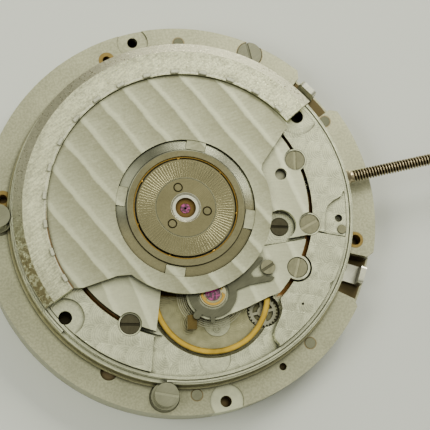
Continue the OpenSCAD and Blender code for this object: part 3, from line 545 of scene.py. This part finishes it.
def pearl_pattern(s, pitch, angle):
    """Rows of large overlapping spots ground with a rotating peg, each with a painted bow-tie highlight.
    Returns (tone, relief).
    """
    reach = 0.95            # radius of a spot, in pitches
    row = 1.15              # distance of the rows, in pitches
    row_shift = 0.37        # of each row against the one before, in pitches
    ring_pitch = 0.15
    along, across = turned_axes(s, angle)
    wander = s.spread(s.noise(3.0, 1.0), 0.8)
    u = s.math("DIVIDE", s.add(along, wander), pitch)
    v = s.math("DIVIDE", s.add(across, wander), pitch * row)
    row_at = s.math("FLOOR", v)
    u = s.add(u, s.times(row_at, row_shift))
    dv = s.times(s.add(s.math("FRACT", v), -0.5), row)
    half = s.math("SQRT", s.minus(reach * reach, s.times(dv, dv)))
    spot = s.math("FLOOR", s.add(u, half))      # each spot covers the one after it in its row
    du = s.minus(u, spot)
    d = s.length(du, dv)
    chance = s.random(spot, row_at)
    turn = s.times(s.math("ARCTAN2", dv, du), 2.0)
    # painted bow-tie highlight across each spot
    wedge = s.math("COSINE", s.add(turn, s.times(chance, 1.5)))
    ripple = s.times(d, pitch * 2 * math.pi / ring_pitch)
    rings = s.math("SINE", s.add(ripple, s.spread(s.noise(0.3, 2.0), 3.0)))
    edge = s.rise(d, reach - 0.08, reach)
    bow = s.times(wedge, s.add(0.08, s.times(chance, 0.15)))
    tone = s.add(bow, s.spread(chance, 0.05), s.times(rings, 0.12), s.times(edge, -0.05))
    relief = s.add(s.times(rings, 0.5), s.times(edge, -0.1))
    return tone, relief


def pearled_finish():
    """Nickel bridges with circular graining, smooth in the sinks of the case clamps."""
    s = Surface("pearled_plate", NICKEL, 0.30)
    tone, relief = pearl_pattern(s, 1.15, -20.0)
    base = s.speckle(0.16, 0.005, 0.5, NICKEL_LIGHT)
    sink = s.times(s.near(CLAMP_HOLES, CLAMP_SINK_R), s.below(BRIDGE_TOP - 0.15))
    grained = s.shade(base, s.times(tone, s.minus(1.0, sink)))
    # faces below the deck's top painted darker, as shade
    color = s.brown_slit(s.mix(s.below(DECK_TOP - 0.05), grained, NICKEL_DARK))
    # painted shade down the clamp holes and the setting post's hole
    clamps = s.times(s.near(CLAMP_HOLES, CLAMP_HOLE_R), s.below(BRIDGE_TOP - 0.25, 0.2))
    post = s.times(s.near([SETTING_POST], SETTING_POST_R), s.below(SETTING_POST_TOP, 0.08))
    s.paint_chamfered(s.mix(s.largest(clamps, post), color, HOLE_SHADE))
    s.bump(relief, 0.004)
    return s.mat


def main_plate_finish():
    """Grained deck, satin rim, recesses frosted and darkened with painted shade, and a brown line where the
    bridges leave a slit.
    """
    s = Surface("main_plate_finish", NICKEL, 0.33)
    tone, relief = pearl_pattern(s, 1.2, 15.0)
    base = s.speckle(0.16, 0.005, 0.5, NICKEL_LIGHT)
    bare = s.largest(s.near([DECK_SINK], DECK_SINK_R), s.rise(s.radius(), *BARE_RIM))
    grained = s.shade(base, s.times(tone, s.minus(1.0, bare)))
    # recess floors frosted and darkened as painted shade
    floor = s.shade(RECESS_FROST_AND_SHADE, s.spread(s.noise(0.5, 3.0), 0.7))
    color = s.brown_slit(s.mix(s.below(DECK_TOP - 0.15), grained, floor))
    # painted shade down the clamp holes
    hole = s.times(s.near(CLAMP_HOLES, CLAMP_HOLE_R), s.below(DECK_TOP + 0.05))
    s.paint_chamfered(s.mix(hole, color, HOLE_SHADE))
    s.bump(relief, 0.004)
    return s.mat


def satin(name, color, rough=0.38):
    """Sand-blasted or satin plate."""
    s = Surface(name, color, rough)
    s.paint_chamfered(s.speckle(0.2, 0.006, 0.5, color))
    s.roughen(s.add(rough - 0.08, s.times(s.noise(0.6, 2.0), 0.16)))
    return s.mat


def module_finish():
    """Satin plate with painted shade down its bores, brown in its notches and round its pins, clean where
    cut deeper.
    """
    s = Surface("module_satin", NICKEL, 0.40)
    color = s.speckle(0.17, 0.007, 0.6, MODULE_NICKEL)
    notch = s.times(s.rise(s.radius(), *NOTCH_DEPTH), s.below(2.35, 0.3))
    color = s.mix(notch, color, NOTCH_BRONZE)
    sunk = s.times(s.near([COUNTERBORE], COUNTERBORE_R), s.below(MODULE_TOP - 0.02, 0.04))
    color = s.mix(sunk, color, s.shade(NICKEL_LIGHT, s.spread(s.noise(0.5, 3.0), 0.4)))
    top = s.rise(s.z, MODULE_TOP - 0.3, MODULE_TOP - 0.1)
    for places, r in (([FOOT_SCREW], FOOT_SCREW_R), (PLATE_PINS, PLATE_PIN_R)):
        ring = s.minus(s.near(places, r + 0.08), s.near(places, r - 0.02))
        color = s.mix(s.times(ring, top, 0.8), color, BRONZE)
    # painted shade down the bores
    bore = s.times(s.near(MODULE_BORES, MODULE_BORE_R), s.below(MODULE_TOP - 0.15, 0.15))
    s.paint_chamfered(s.mix(bore, color, BORE_SHADE), wall_shade=-0.15)
    s.roughen(s.add(0.32, s.times(s.noise(0.6, 2.0), 0.16)))
    return s.mat


def weight_finish():
    """Frosted heavy alloy with bright flecks carrying painted glints, a painted sheen along its middle and
    painted shade low on the left; a light line at its seam, painted as a highlight, that turns brown low on
    the left; and an outer chamfer coloured with painted shade, lighter on the left and darkest low there,
    where it is also stained."""
    s = Surface("weight_finish", NICKEL_LIGHT, 0.34)
    r = s.radius()
    grain = s.contrast(s.noise(0.15, 3.0))
    streak = s.contrast(s.noise(0.13, 3.0, (1.0, 5.0, 1.0), -64.0))
    # bright flecks: smoother, and lightened as painted glints
    glinting_fleck = s.rise(s.noise(0.13, 2.0), 0.58, 0.70)
    cloud = s.noise(1.6, 3.0)
    tone = s.add(s.spread(grain, 0.26), s.spread(cloud, 0.5), s.spread(streak, 0.30))
    # painted sheen along the middle of the top
    middle = s.between(r, *WEIGHT_SHEEN)
    # painted shade on the top, low on the left
    low_left_shade = s.times(s.rise(s.y, 1.0, -4.0), s.rise(s.x, -4.0, -8.0))
    tone = s.add(tone, s.times(glinting_fleck, 0.30), s.times(middle, 0.14), s.times(low_left_shade, -0.20))
    top = s.shade(WEIGHT_TOP, tone)
    left = s.times(s.rise(s.y, 8.0, 0.5), s.rise(s.x, -5.0, -9.0))
    # chamfer colours painted as shade by side, darkest low on the left, where it is also stained
    edge = s.mix(s.rise(s.x, 1.0, -9.0), WEIGHT_EDGE_SHADED_RIGHT, WEIGHT_EDGE_LIT_LEFT)
    edge = s.shade(s.mix(left, edge, WEIGHT_EDGE_SHADOW_LOW), s.spread(grain, 0.15))
    stain = s.times(s.rise(s.noise(0.35, 3.0), 0.40, 0.54), left, s.rise(s.y, 3.5, -1.5))
    edge = s.mix(s.times(stain, 0.90), edge, STAIN)
    outer = s.rise(s.add(r, s.spread(cloud, 0.12)), *WEIGHT_CHAMFER)
    # light line at the seam, painted as a highlight
    line = s.between(r, *WEIGHT_LINE)
    color = s.mix(s.times(line, 0.6), s.mix(outer, top, edge), CHAMFER_HIGHLIGHT)
    seam = s.times(s.rise(r, *WEIGHT_SEAM), s.rise(s.y, 3.0, 0.5), s.rise(s.x, -5.0, -8.0))
    s.paint(s.mix(s.times(seam, 0.9), color, SLIT_BROWN))
    s.roughen(s.minus(0.40, s.times(glinting_fleck, 0.22)))
    s.bump(grain, 0.004)
    return s.mat


def ring_finish():
    """Turned ring of the bearing: fine concentric rings, and a polished flange which on the far side is
    painted greyer, with a painted sheen that fans round the axis: a painted reflection."""
    s = Surface("ring_turned", OLIVE, 0.26)
    r = s.radius()
    rings = s.lathe_rings(r)
    tone = s.add(s.times(rings, 0.05), s.spread(s.noise(1.2, 3.0), 0.5), s.spread(s.noise(0.15, 2.0), 0.3))
    # far side of the flange: a painted reflection, greyer, with sheen that fans round the axis
    turn = s.math("ARCTAN2", s.y, s.x)
    fans = s.math("COSINE", s.add(s.times(turn, 5.0), s.spread(s.noise(2.0, 1.0), 2.0)))
    polish_and_reflection = s.times(s.rise(r, *FLANGE), s.rise(s.y, -1.5, 1.0))
    color = s.mix(polish_and_reflection, OLIVE, s.shade(FLANGE_REFLECTION, s.times(fans, 0.5)))
    s.paint(s.shade(color, tone))
    s.bump(s.times(rings, s.minus(1.0, polish_and_reflection)), 0.0008)
    return s.mat


def core_finish():
    """The hub's turned disc, its bright bush and the brass seen down its bore, darkened as painted shade.
    """
    s = Surface("core_finish", HUB_OLIVE, 0.28)
    r = s.radius()
    rings = s.lathe_rings(r)
    tone = s.add(s.times(rings, 0.04), s.spread(s.noise(1.2, 3.0), 0.3), s.spread(s.noise(0.12, 2.0), 0.35))
    line = s.between(r, *CORE_LINE)
    disc = s.mix(s.times(line, 0.6), s.shade(HUB_OLIVE, tone), NICKEL)
    turns = [math.radians(a) for a in DIMPLE_ANGLES]
    dimples = [(DIMPLE_R * math.cos(a), DIMPLE_R * math.sin(a)) for a in turns]
    marks = s.minus(s.near(dimples, 0.36), s.near(dimples, 0.25))
    disc = s.mix(marks, disc, DIMPLE_LINE)
    # brass down the bore, darkened as painted shade
    bush = s.mix(s.rise(r, CORE_BORE_R, CORE_BORE_R - 0.03), BUSH_STEEL, BORE_BRASS_IN_SHADE)
    s.paint(s.mix(s.rise(r, CORE_BUSH_R, CORE_BUSH_R - 0.03), disc, bush))
    s.bump(rings, 0.0015)
    return s.mat


def polished(name, color, rough, wall_shade=0.0):
    """Flat polished metal with faint hairlines and upright sides darkened as painted shade where asked."""
    s = Surface(name, color, rough)
    lines = s.hairlines(25.0)
    cloud = s.noise(0.9, 2.0)
    # upright sides darkened as painted shade where asked
    tone = s.add(s.spread(lines, 0.35), s.spread(cloud, 0.4), s.times(s.wall(), wall_shade))
    s.paint(s.shade(color, tone))
    s.roughen(s.add(rough, s.times(cloud, 0.14)))
    s.bump(lines, 0.002)
    return s.mat


def screw_finish():
    """Polished heads, three of them brown; some slot floors painted lighter as a highlight and some darker
    as shade.
    """
    s = Surface("screw_finish", STEEL, 0.2)
    s.shadow_depth = -0.2
    lines = s.hairlines(60.0)
    head = s.mix(s.near(DARK_SCREWS, DARK_SCREW_R), SCREW_STEEL, SCREW_DARK)
    head = s.shade(head, s.add(s.spread(lines, 0.35), s.spread(s.noise(0.4, 3.0), 0.5)))
    # slot floors painted lighter as a highlight, and darker as shade
    pale = s.largest(s.slot_floor(HIGHLIT_SLOT_SCREWS, EDGE_SCREW_TOP),
                     s.slot_floor([COCK_SCREW], COCK_SCREW_TOP))
    slot_shade = s.largest(s.slot_floor(SHADED_SLOT_SCREWS, EDGE_SCREW_TOP),
                     s.slot_floor(SUNK_SCREWS, SUNK_SCREW_TOP),
                     s.slot_floor([REGULATOR_SCREW], REGULATOR_SCREW_TOP))
    head = s.shade(head, s.add(s.times(slot_shade, -0.5), s.times(pale, 0.65)))
    s.paint_chamfered(head, SCREW_EDGE_HIGHLIGHT)
    s.bump(lines, 0.002)
    return s.mat


def module_screw_finish():
    """Polished heads of the casing screws and the foot screw, and the darker ends of pins."""
    s = Surface("module_screws", STEEL, 0.18)
    s.shadow_depth = -0.2
    lines = s.hairlines(25.0)
    head = s.mix(s.below(3.3), CASE_SCREW_STEEL, PIN_STEEL)
    head = s.mix(s.near([FOOT_SCREW], FOOT_SCREW_R + 0.14), head, FOOT_SCREW_STEEL)
    head = s.shade(head, s.add(s.spread(lines, 0.35), s.spread(s.noise(0.9, 2.0), 0.5)))
    # slot floors painted lighter as a highlight on the casing screws, darker as shade on the foot screw
    pale = s.slot_floor(CASE_SCREWS, CASE_SCREW_TOP)
    slot_shade = s.slot_floor([FOOT_SCREW], FOOT_SCREW_TOP)
    head = s.shade(head, s.add(s.times(pale, 0.5), s.times(slot_shade, -0.17)))
    s.paint_chamfered(head, CASE_SCREW_EDGE_HIGHLIGHT)
    s.bump(lines, 0.002)
    return s.mat


def balance_finish():
    """The balance's polished gilt rim, painted darker brown along both edges as shade on its rounded
    section.
    """
    s = Surface("balance_gilt", GOLD, 0.14)
    off = s.math("ABSOLUTE", s.minus(s.radius(*BALANCE), BALANCE_RIM_R))
    # both edges of the rim darkened as painted shade of its rounded section
    tone = s.add(s.times(s.rise(off, 0.07, 0.22), -0.62), s.spread(s.noise(0.35, 3.0), 0.25),
                 s.spread(s.noise(1.6, 2.0), 1.2))
    s.paint(s.shade(BALANCE_GOLD, tone))
    s.roughen(s.add(0.10, s.times(s.noise(0.3, 2.0), 0.15)))
    return s.mat


def gilt(name, color, rough):
    """Gilt brass, a little uneven."""
    s = Surface(name, color, rough)
    fine = s.noise(0.15, 2.0)
    s.paint(s.shade(color, s.add(s.spread(s.noise(0.8, 3.0), 0.35), s.spread(fine, 0.2))))
    s.roughen(s.add(rough - 0.05, s.times(fine, 0.15)))
    s.bump(fine, 0.002)
    return s.mat


def ruby_finish():
    """Synthetic ruby: glossy and dark, with paler patches painted in as glints."""
    s = Surface("ruby_jewel", RUBY, 0.05, metallic=0.0)
    # paler patches painted in as glints
    s.paint(s.mix(s.rise(s.noise(0.18, 2.0), 0.46, 0.60), RUBY_DARK, RUBY_GLINT))
    s.shader.inputs["Coat Weight"].default_value = 1.0
    s.shader.inputs["Coat Roughness"].default_value = 0.03
    s.shader.inputs["Specular IOR Level"].default_value = 0.8
    return s.mat


def stem_finish():
    """Machined stem, dark brown with painted shade in the roots of its thread and painted highlights on the
    crests.
    """
    s = Surface("stem_finish", BRONZE, 0.28)
    r = s.length(s.y, s.minus(s.z, STEM_Z))
    # roots darkened as painted shade, crests lightened as a painted highlight
    crest = s.rise(r, THREAD_ROOT_R + 0.03, THREAD_R - 0.01)
    color = s.mix(crest, THREAD_ROOT_SHADE, THREAD_CREST_HIGHLIGHT)
    s.paint(s.shade(color, s.spread(s.noise(0.5, 3.0), 0.5)))
    return s.mat


# ---------------------------------------------------------------- pieces
def add_object(name, mesh, material):
    """Puts a mesh with its material into the scene."""
    mesh.materials.append(material)
    obj = bpy.data.objects.new(name, mesh)
    SCENE.collection.objects.link(obj)
    return obj


def mesh_object(name, verts, faces, material):
    """An object from points in millimetres."""
    mesh = bpy.data.meshes.new(name)
    mesh.from_pydata([Vector(v) * MM for v in verts], [], faces)
    return add_object(name, mesh, material)


def polar(r, angle, z):
    """The point at that radius and angle about the movement's axis."""
    return (r * math.cos(angle), r * math.sin(angle), z)


def stem_ring(x, radii):
    """A ring of points round the stem's axis, one for each radius."""
    ring = []
    for j, r in enumerate(radii):
        angle = 2 * math.pi * j / len(radii)
        ring.append((x, r * math.cos(angle), STEM_Z + r * math.sin(angle)))
    return ring


def thread_radius(x, angle):
    """Triangular thread with flat crests and roots that fades in at its start."""
    phase = (x / THREAD_PITCH - angle / (2 * math.pi)) % 1.0
    ridge = min(1.0, max(0.0, 1.6 * (1 - abs(2 * phase - 1)) - 0.2))
    grow = min(1.0, max(0.0, (x - THREAD_START) / 0.3))
    return THREAD_R - (THREAD_R - THREAD_ROOT_R) * (1 - ridge) * grow


def make_stem():
    """The winding stem with its cut thread: a skin over rings of points, with flat ends."""
    rings = [stem_ring(x, [r] * STEM_STEPS) for x, r in STEM_PROFILE]
    angles = [2 * math.pi * j / STEM_STEPS for j in range(STEM_STEPS)]
    count = round((STEM_END - THREAD_START) / (THREAD_PITCH / THREAD_STEPS))
    for i in range(1, count + 1):
        x = THREAD_START + (STEM_END - THREAD_START) * i / count
        rings.append(stem_ring(x, [thread_radius(x, angle) for angle in angles]))
    verts = [point for ring in rings for point in ring]
    faces = []
    for i in range(len(rings) - 1):
        for j in range(STEM_STEPS):
            a = i * STEM_STEPS + j
            b = i * STEM_STEPS + (j + 1) % STEM_STEPS
            faces.append((a, b, b + STEM_STEPS, a + STEM_STEPS))
    faces.append(tuple(range(STEM_STEPS - 1, -1, -1)))
    faces.append(tuple(range(len(verts) - STEM_STEPS, len(verts))))
    stem = mesh_object("threaded_stem", verts, faces, stem_finish())
    for face in stem.data.polygons:
        face.use_smooth = True
    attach(stem, "stem")
    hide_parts("winding_stem")


def make_hub_rays(material):
    """Fine rays raised on the hub disc: low ridges with a triangular section."""
    half = math.pi / RAY_COUNT * RAY_FILL
    foot = HUB_TOP - 0.005      # sunk a little, so that no gap shows
    verts, faces = [], []
    for i in range(RAY_COUNT):
        a = 2 * math.pi * i / RAY_COUNT
        k = len(verts)
        verts += [polar(RAY_START, a - half, foot), polar(RAY_START, a + half, foot),
                  polar(RAY_END, a + half, foot), polar(RAY_END, a - half, foot),
                  polar(RAY_START, a, HUB_TOP + RAY_HEIGHT * 0.6), polar(RAY_END, a, HUB_TOP + RAY_HEIGHT)]
        faces += [(k, k + 4, k + 5, k + 3), (k + 1, k + 2, k + 5, k + 4), (k, k + 1, k + 4),
                  (k + 3, k + 5, k + 2), (k, k + 3, k + 2, k + 1)]
    rays = mesh_object("hub_rays", verts, faces, material)
    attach(rays, "movement")


def make_seam_tabs(material):
    """Small tabs that hold the weight to the rotor plate: boxes with softened edges."""
    bm = bmesh.new()
    for i in range(TAB_COUNT):
        a = math.radians(TAB_FIRST + (TAB_LAST - TAB_FIRST) * i / (TAB_COUNT - 1))
        place = Matrix.Translation(polar(TAB_R, a, TAB_Z)) @ Matrix.Rotation(a, 4, "Z")
        box = bmesh.ops.create_cube(bm, size=1.0, matrix=place @ Matrix.Diagonal((*TAB_SIZE, 1)))
        edges = {edge for vert in box["verts"] for edge in vert.link_edges}
        bmesh.ops.bevel(bm, geom=list(edges), offset=min(TAB_SIZE) * 0.15, segments=2, affect="EDGES")
    bmesh.ops.scale(bm, vec=(MM, MM, MM), verts=bm.verts)
    mesh = bpy.data.meshes.new("seam_tabs")
    bm.to_mesh(mesh)
    bm.free()
    tabs = add_object("seam_tabs", mesh, material)
    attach(tabs, "rotor")


def ribbon(name, path, width, low, high, material):
    """A thin strip on edge along a flat path."""
    verts, faces = [], []
    for i, (x, y) in enumerate(path):
        ax, ay = path[max(i - 1, 0)]
        bx, by = path[min(i + 1, len(path) - 1)]
        length = math.hypot(bx - ax, by - ay)
        nx, ny = -(by - ay) / length * width / 2, (bx - ax) / length * width / 2
        verts += [(x - nx, y - ny, low), (x + nx, y + ny, low),
                  (x + nx, y + ny, high), (x - nx, y - ny, high)]
    for i in range(len(path) - 1):
        k = 4 * i
        faces += [(k + j, k + (j + 1) % 4, k + 4 + (j + 1) % 4, k + 4 + j) for j in range(4)]
    faces += [(3, 2, 1, 0), tuple(len(verts) - 4 + j for j in range(4))]
    return mesh_object(name, verts, faces, material)


def make_hairspring(material):
    """The balance spring's fine coils, ending at the stud."""
    count = SPRING_TURNS * SPRING_STEPS
    path = []
    for i in range(count + 1):
        a = math.radians(SPRING_END + 360 / SPRING_STEPS * (i - count))
        r = SPRING_INNER + (SPRING_OUTER - SPRING_INNER) * i / count
        path.append((BALANCE[0] + r * math.cos(a), BALANCE[1] + r * math.sin(a)))
    spring = ribbon("hairspring_coils", path, SPRING_WIDTH, SPRING_LOW, SPRING_HIGH, material)
    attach(spring, "movement")
    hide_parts("hairspring")


# ---------------------------------------------------------------- finishes for the CAD nodes
def finish_nodes(turned_ring, steel):
    """Gives every CAD node its material."""
    plan = [
        (striped("rotor_stripes", -64.0, NICKEL_LIGHT, NICKEL_DARK), ["rotor_plate"]),
        (striped("bridge_stripes", -80.0, NICKEL_PALE, NICKEL, shadow_reach=0.9),
         ["automatic_bridge", "balance_cock", "train_bridge"]),
        (pearled_finish(), ["side_bridge_right", "barrel_bridge", "side_bridge_left"]),
        (main_plate_finish(), ["main_plate"]),
        (satin("plain_plate", NICKEL), ["pallet_bridge", "module_cover"]),
        (module_finish(), ["module_plate"]),
        (module_screw_finish(), ["module_pins_screws", "casing_screws"]),
        (gilt("dull_brass", DULL_BRASS, 0.3), ["module_bushings"]),
        # the levers' upright walls darkened as painted shade
        (polished("lever_steel", LEVER_STEEL, 0.24, wall_shade=-0.75), ["start_lever", "reset_lever"]),
        (screw_finish(), ["bridge_screws"]),
        (weight_finish(), ["rotor_weight"]),
        (turned_ring, ["bearing_ring"]),
        (core_finish(), ["bearing_core"]),
        (ruby_finish(), ["jewels"]),
        (balance_finish(), ["balance_wheel"]),
        (polished("pale_gilt", PALE_GOLD, 0.12), ["shock_setting"]),
        (polished("black_steel", BLACK_STEEL, 0.26), ["regulator"]),
        (polished("stud_bronze", STUD_BRONZE, 0.3), ["stud_block", "winding_stem"]),
        (gilt("gilt", GOLD, 0.2),
         ["chrono_seconds_wheel", "minute_counter_wheel", "small_seconds_wheel", "hour_wheel",
          "minute_wheel", "barrel_drum", "barrel_cover", "second_wheel", "third_wheel",
          "fourth_wheel", "shock_spring", "reversing_wheel_a", "reversing_wheel_b",
          "reduction_wheel", "bearing_balls"]),
        (steel,
         ["reset_hammer", "drive_wheel", "cannon_pinion", "ratchet_wheel", "crown_wheel", "click",
          "escape_wheel", "pallet_fork", "winding_pinion", "sliding_pinion", "setting_lever", "yoke",
          "reversing_pinion_a", "reversing_pinion_b", "mainspring", "hairspring", "flat_springs",
          "barrel_arbor", "balance_staff"]),
    ]
    for material, names in plan:
        for name in names:
            for slot in NODES[name].material_slots:
                slot.material = material


def soften_edges():
    """Small bevels, so that edges catch the light."""
    for name, width in BEVELS.items():
        bevel = NODES[name].modifiers.new("bevel", "BEVEL")
        bevel.width = width * MM
        bevel.segments = 2
        bevel.limit_method = "ANGLE"
        bevel.angle_limit = math.radians(40)
        bevel.use_clamp_overlap = True
        bevel.harden_normals = True


def make_floor():
    """A plain pale floor under the dial seat."""
    half = 600      # mm
    corners = [(-half, -half, 0), (half, -half, 0), (half, half, 0), (-half, half, 0)]
    material = bpy.data.materials.new("floor")
    material.use_nodes = True
    shader = material.node_tree.nodes["Principled BSDF"]
    shader.inputs["Base Color"].default_value = (*FLOOR_PALE, 1)
    shader.inputs["Roughness"].default_value = 0.85
    mesh_object("floor", corners, [(0, 1, 2, 3)], material)


RING_TURNED = ring_finish()
SMALL_STEEL = polished("small_steel", STEEL, 0.22)
finish_nodes(RING_TURNED, SMALL_STEEL)
soften_edges()
make_stem()
make_hub_rays(RING_TURNED)
make_seam_tabs(satin("tab_satin", TAB_STEEL, rough=0.30))
make_hairspring(SMALL_STEEL)
make_camera()
make_light()
make_floor()
